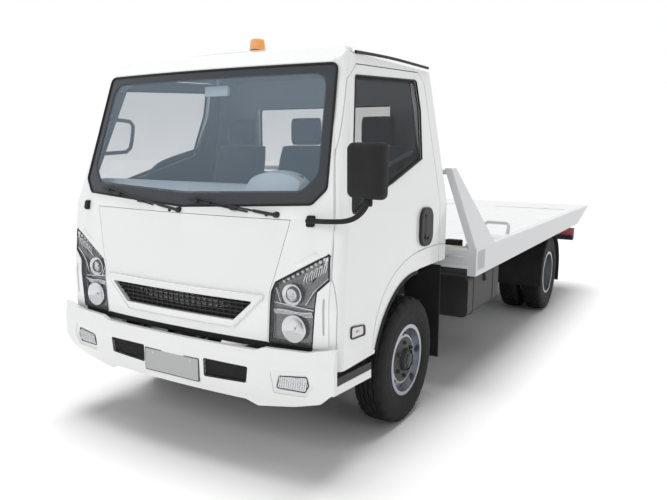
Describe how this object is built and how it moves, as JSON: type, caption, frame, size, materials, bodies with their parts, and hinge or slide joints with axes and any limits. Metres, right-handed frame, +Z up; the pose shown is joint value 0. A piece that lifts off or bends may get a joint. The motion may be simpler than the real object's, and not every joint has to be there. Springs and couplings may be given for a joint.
{
  "type": "flatbed tow truck",
  "caption": "Light cab-over tow truck with a long sliding and tilting flat bed, twin rear wheels, opening doors and a tilting cab.",
  "frame": {"origin": "on the ground, midway along the truck's length, on its middle line", "axes": "+X to the truck's left, +Y to its rear, +Z up"},
  "size_m": [2.388, 5.9798, 2.328],
  "materials": {
    "white_paint": "gloss",
    "bed_paint": "satin",
    "black_paint": "satin",
    "black_plastic": "matte",
    "glass": "gloss",
    "lamp_chrome": "mirror",
    "amber": "gloss",
    "red_lens": "gloss",
    "tyre": "matte",
    "rim_silver": "satin",
    "cast_iron": "rough",
    "seat_fabric": "soft",
    "dash_plastic": "matte",
    "rod_chrome": "mirror"
  },
  "bodies": {
    "chassis": {"frame_rails": "black_paint", "cross_members": "black_paint", "hinge_brackets": "black_paint", "front_bumper": "white_paint", "fog_lamps": "lamp_chrome", "side_sills": "white_paint", "steps": "black_plastic", "front_axle": "cast_iron", "rear_axle": "cast_iron", "leaf_springs": "black_paint", "engine": "cast_iron", "drive_shaft": "cast_iron", "fuel_tank": "black_paint", "battery_box": "black_plastic", "mudguards": "black_plastic", "rear_lamp_bar": "black_paint", "rear_lamps": "red_lens"},
    "cab": {"cab_shell": "white_paint", "windscreen": "glass", "rear_window": "glass", "front_panel": "white_paint", "grille": "black_plastic", "headlamps": "lamp_chrome", "roof_lamps": "amber", "wipers": "black_plastic", "mirrors": "black_plastic", "intake_duct": "black_plastic", "seats": "seat_fabric", "dashboard": "dash_plastic", "steering_wheel": "black_plastic"},
    "door_left_body": {"door_left": "white_paint", "door_glass_left": "glass", "handle_left": "black_plastic"},
    "door_right_body": {"door_right": "white_paint", "door_glass_right": "glass", "handle_right": "black_plastic"},
    "steer_left_body": {"knuckle_left": "cast_iron"},
    "steer_right_body": {"knuckle_right": "cast_iron"},
    "wheel_front_left": {"tyre_front_left": "tyre", "rim_front_left": "rim_silver", "hub_front_left": "cast_iron"},
    "wheel_front_right": {"tyre_front_right": "tyre", "rim_front_right": "rim_silver", "hub_front_right": "cast_iron"},
    "wheels_rear_left": {"tyres_rear_left": "tyre", "rims_rear_left": "rim_silver"},
    "wheels_rear_right": {"tyres_rear_right": "tyre", "rims_rear_right": "rim_silver"},
    "tilt_frame": {"subframe": "black_paint", "slide_barrel": "black_paint"},
    "bed": {"deck": "bed_paint", "side_rails": "bed_paint", "headboard": "bed_paint", "winch": "black_paint", "wheel_stops": "bed_paint", "slide_rod": "rod_chrome"},
    "winch_drum_body": {"winch_drum": "cast_iron"},
    "lift_barrels": {"tilt_barrels": "black_paint"},
    "lift_rods": {"tilt_rods": "rod_chrome"}
  },
  "joints": [
    {"name": "cab_tilt", "type": "hinge", "parent": "chassis", "child": "cab", "pos_m": [0, -2.825, 0.72], "axis": [1, 0, 0], "range_deg": [0, 45]},
    {"name": "door_left_hinge", "type": "hinge", "parent": "cab", "child": "door_left_body", "pos_m": [0.985, -2.843, 1.2], "axis": [0, 0, -1], "range_deg": [0, 70]},
    {"name": "door_right_hinge", "type": "hinge", "parent": "cab", "child": "door_right_body", "pos_m": [-0.985, -2.843, 1.2], "axis": [0, 0, 1], "range_deg": [0, 70]},
    {"name": "steer_left", "type": "hinge", "parent": "chassis", "child": "steer_left_body", "pos_m": [0.776, -1.965, 0.389], "axis": [0, 0, 1], "range_deg": [-32, 32]},
    {"name": "steer_right", "type": "hinge", "parent": "chassis", "child": "steer_right_body", "pos_m": [-0.776, -1.965, 0.389], "axis": [0, 0, 1], "range_deg": [-32, 32]},
    {"name": "spin_front_left", "type": "hinge", "parent": "steer_left_body", "child": "wheel_front_left", "pos_m": [0.864, -1.965, 0.389], "axis": [1, 0, 0], "continuous": true},
    {"name": "spin_front_right", "type": "hinge", "parent": "steer_right_body", "child": "wheel_front_right", "pos_m": [-0.864, -1.965, 0.389], "axis": [1, 0, 0], "continuous": true},
    {"name": "spin_rear_left", "type": "hinge", "parent": "chassis", "child": "wheels_rear_left", "pos_m": [0.844, 1.4, 0.389], "axis": [1, 0, 0], "continuous": true},
    {"name": "spin_rear_right", "type": "hinge", "parent": "chassis", "child": "wheels_rear_right", "pos_m": [-0.844, 1.4, 0.389], "axis": [1, 0, 0], "continuous": true},
    {"name": "bed_tilt", "type": "hinge", "parent": "chassis", "child": "tilt_frame", "pos_m": [0, 2.315, 0.7], "axis": [-1, 0, 0], "range_deg": [0, 15.8]},
    {"name": "bed_slide", "type": "slide", "parent": "tilt_frame", "child": "bed", "axis": [0, 1, 0], "range_m": [0, 2.75]},
    {"name": "winch_spin", "type": "hinge", "parent": "bed", "child": "winch_drum_body", "pos_m": [0, -1.055, 1.055], "axis": [1, 0, 0], "continuous": true},
    {"name": "ram_swing", "type": "hinge", "parent": "chassis", "child": "lift_barrels", "pos_m": [0, 1.135, 0.5], "axis": [-1, 0, 0], "range_deg": [0, 31.15]},
    {"name": "ram_stroke", "type": "slide", "parent": "lift_barrels", "child": "lift_rods", "axis": [0, -0.9636, 0.2674], "range_m": [0, 0.2172]}
  ],
  "couplings": [
    {"joint": "steer_right", "follows": "steer_left", "ratio": 1},
    {"joint": "ram_swing", "follows": "bed_tilt", "ratio": 1.9684},
    {"joint": "ram_stroke", "follows": "bed_tilt", "m_per_rad": 0.78401}
  ]
}
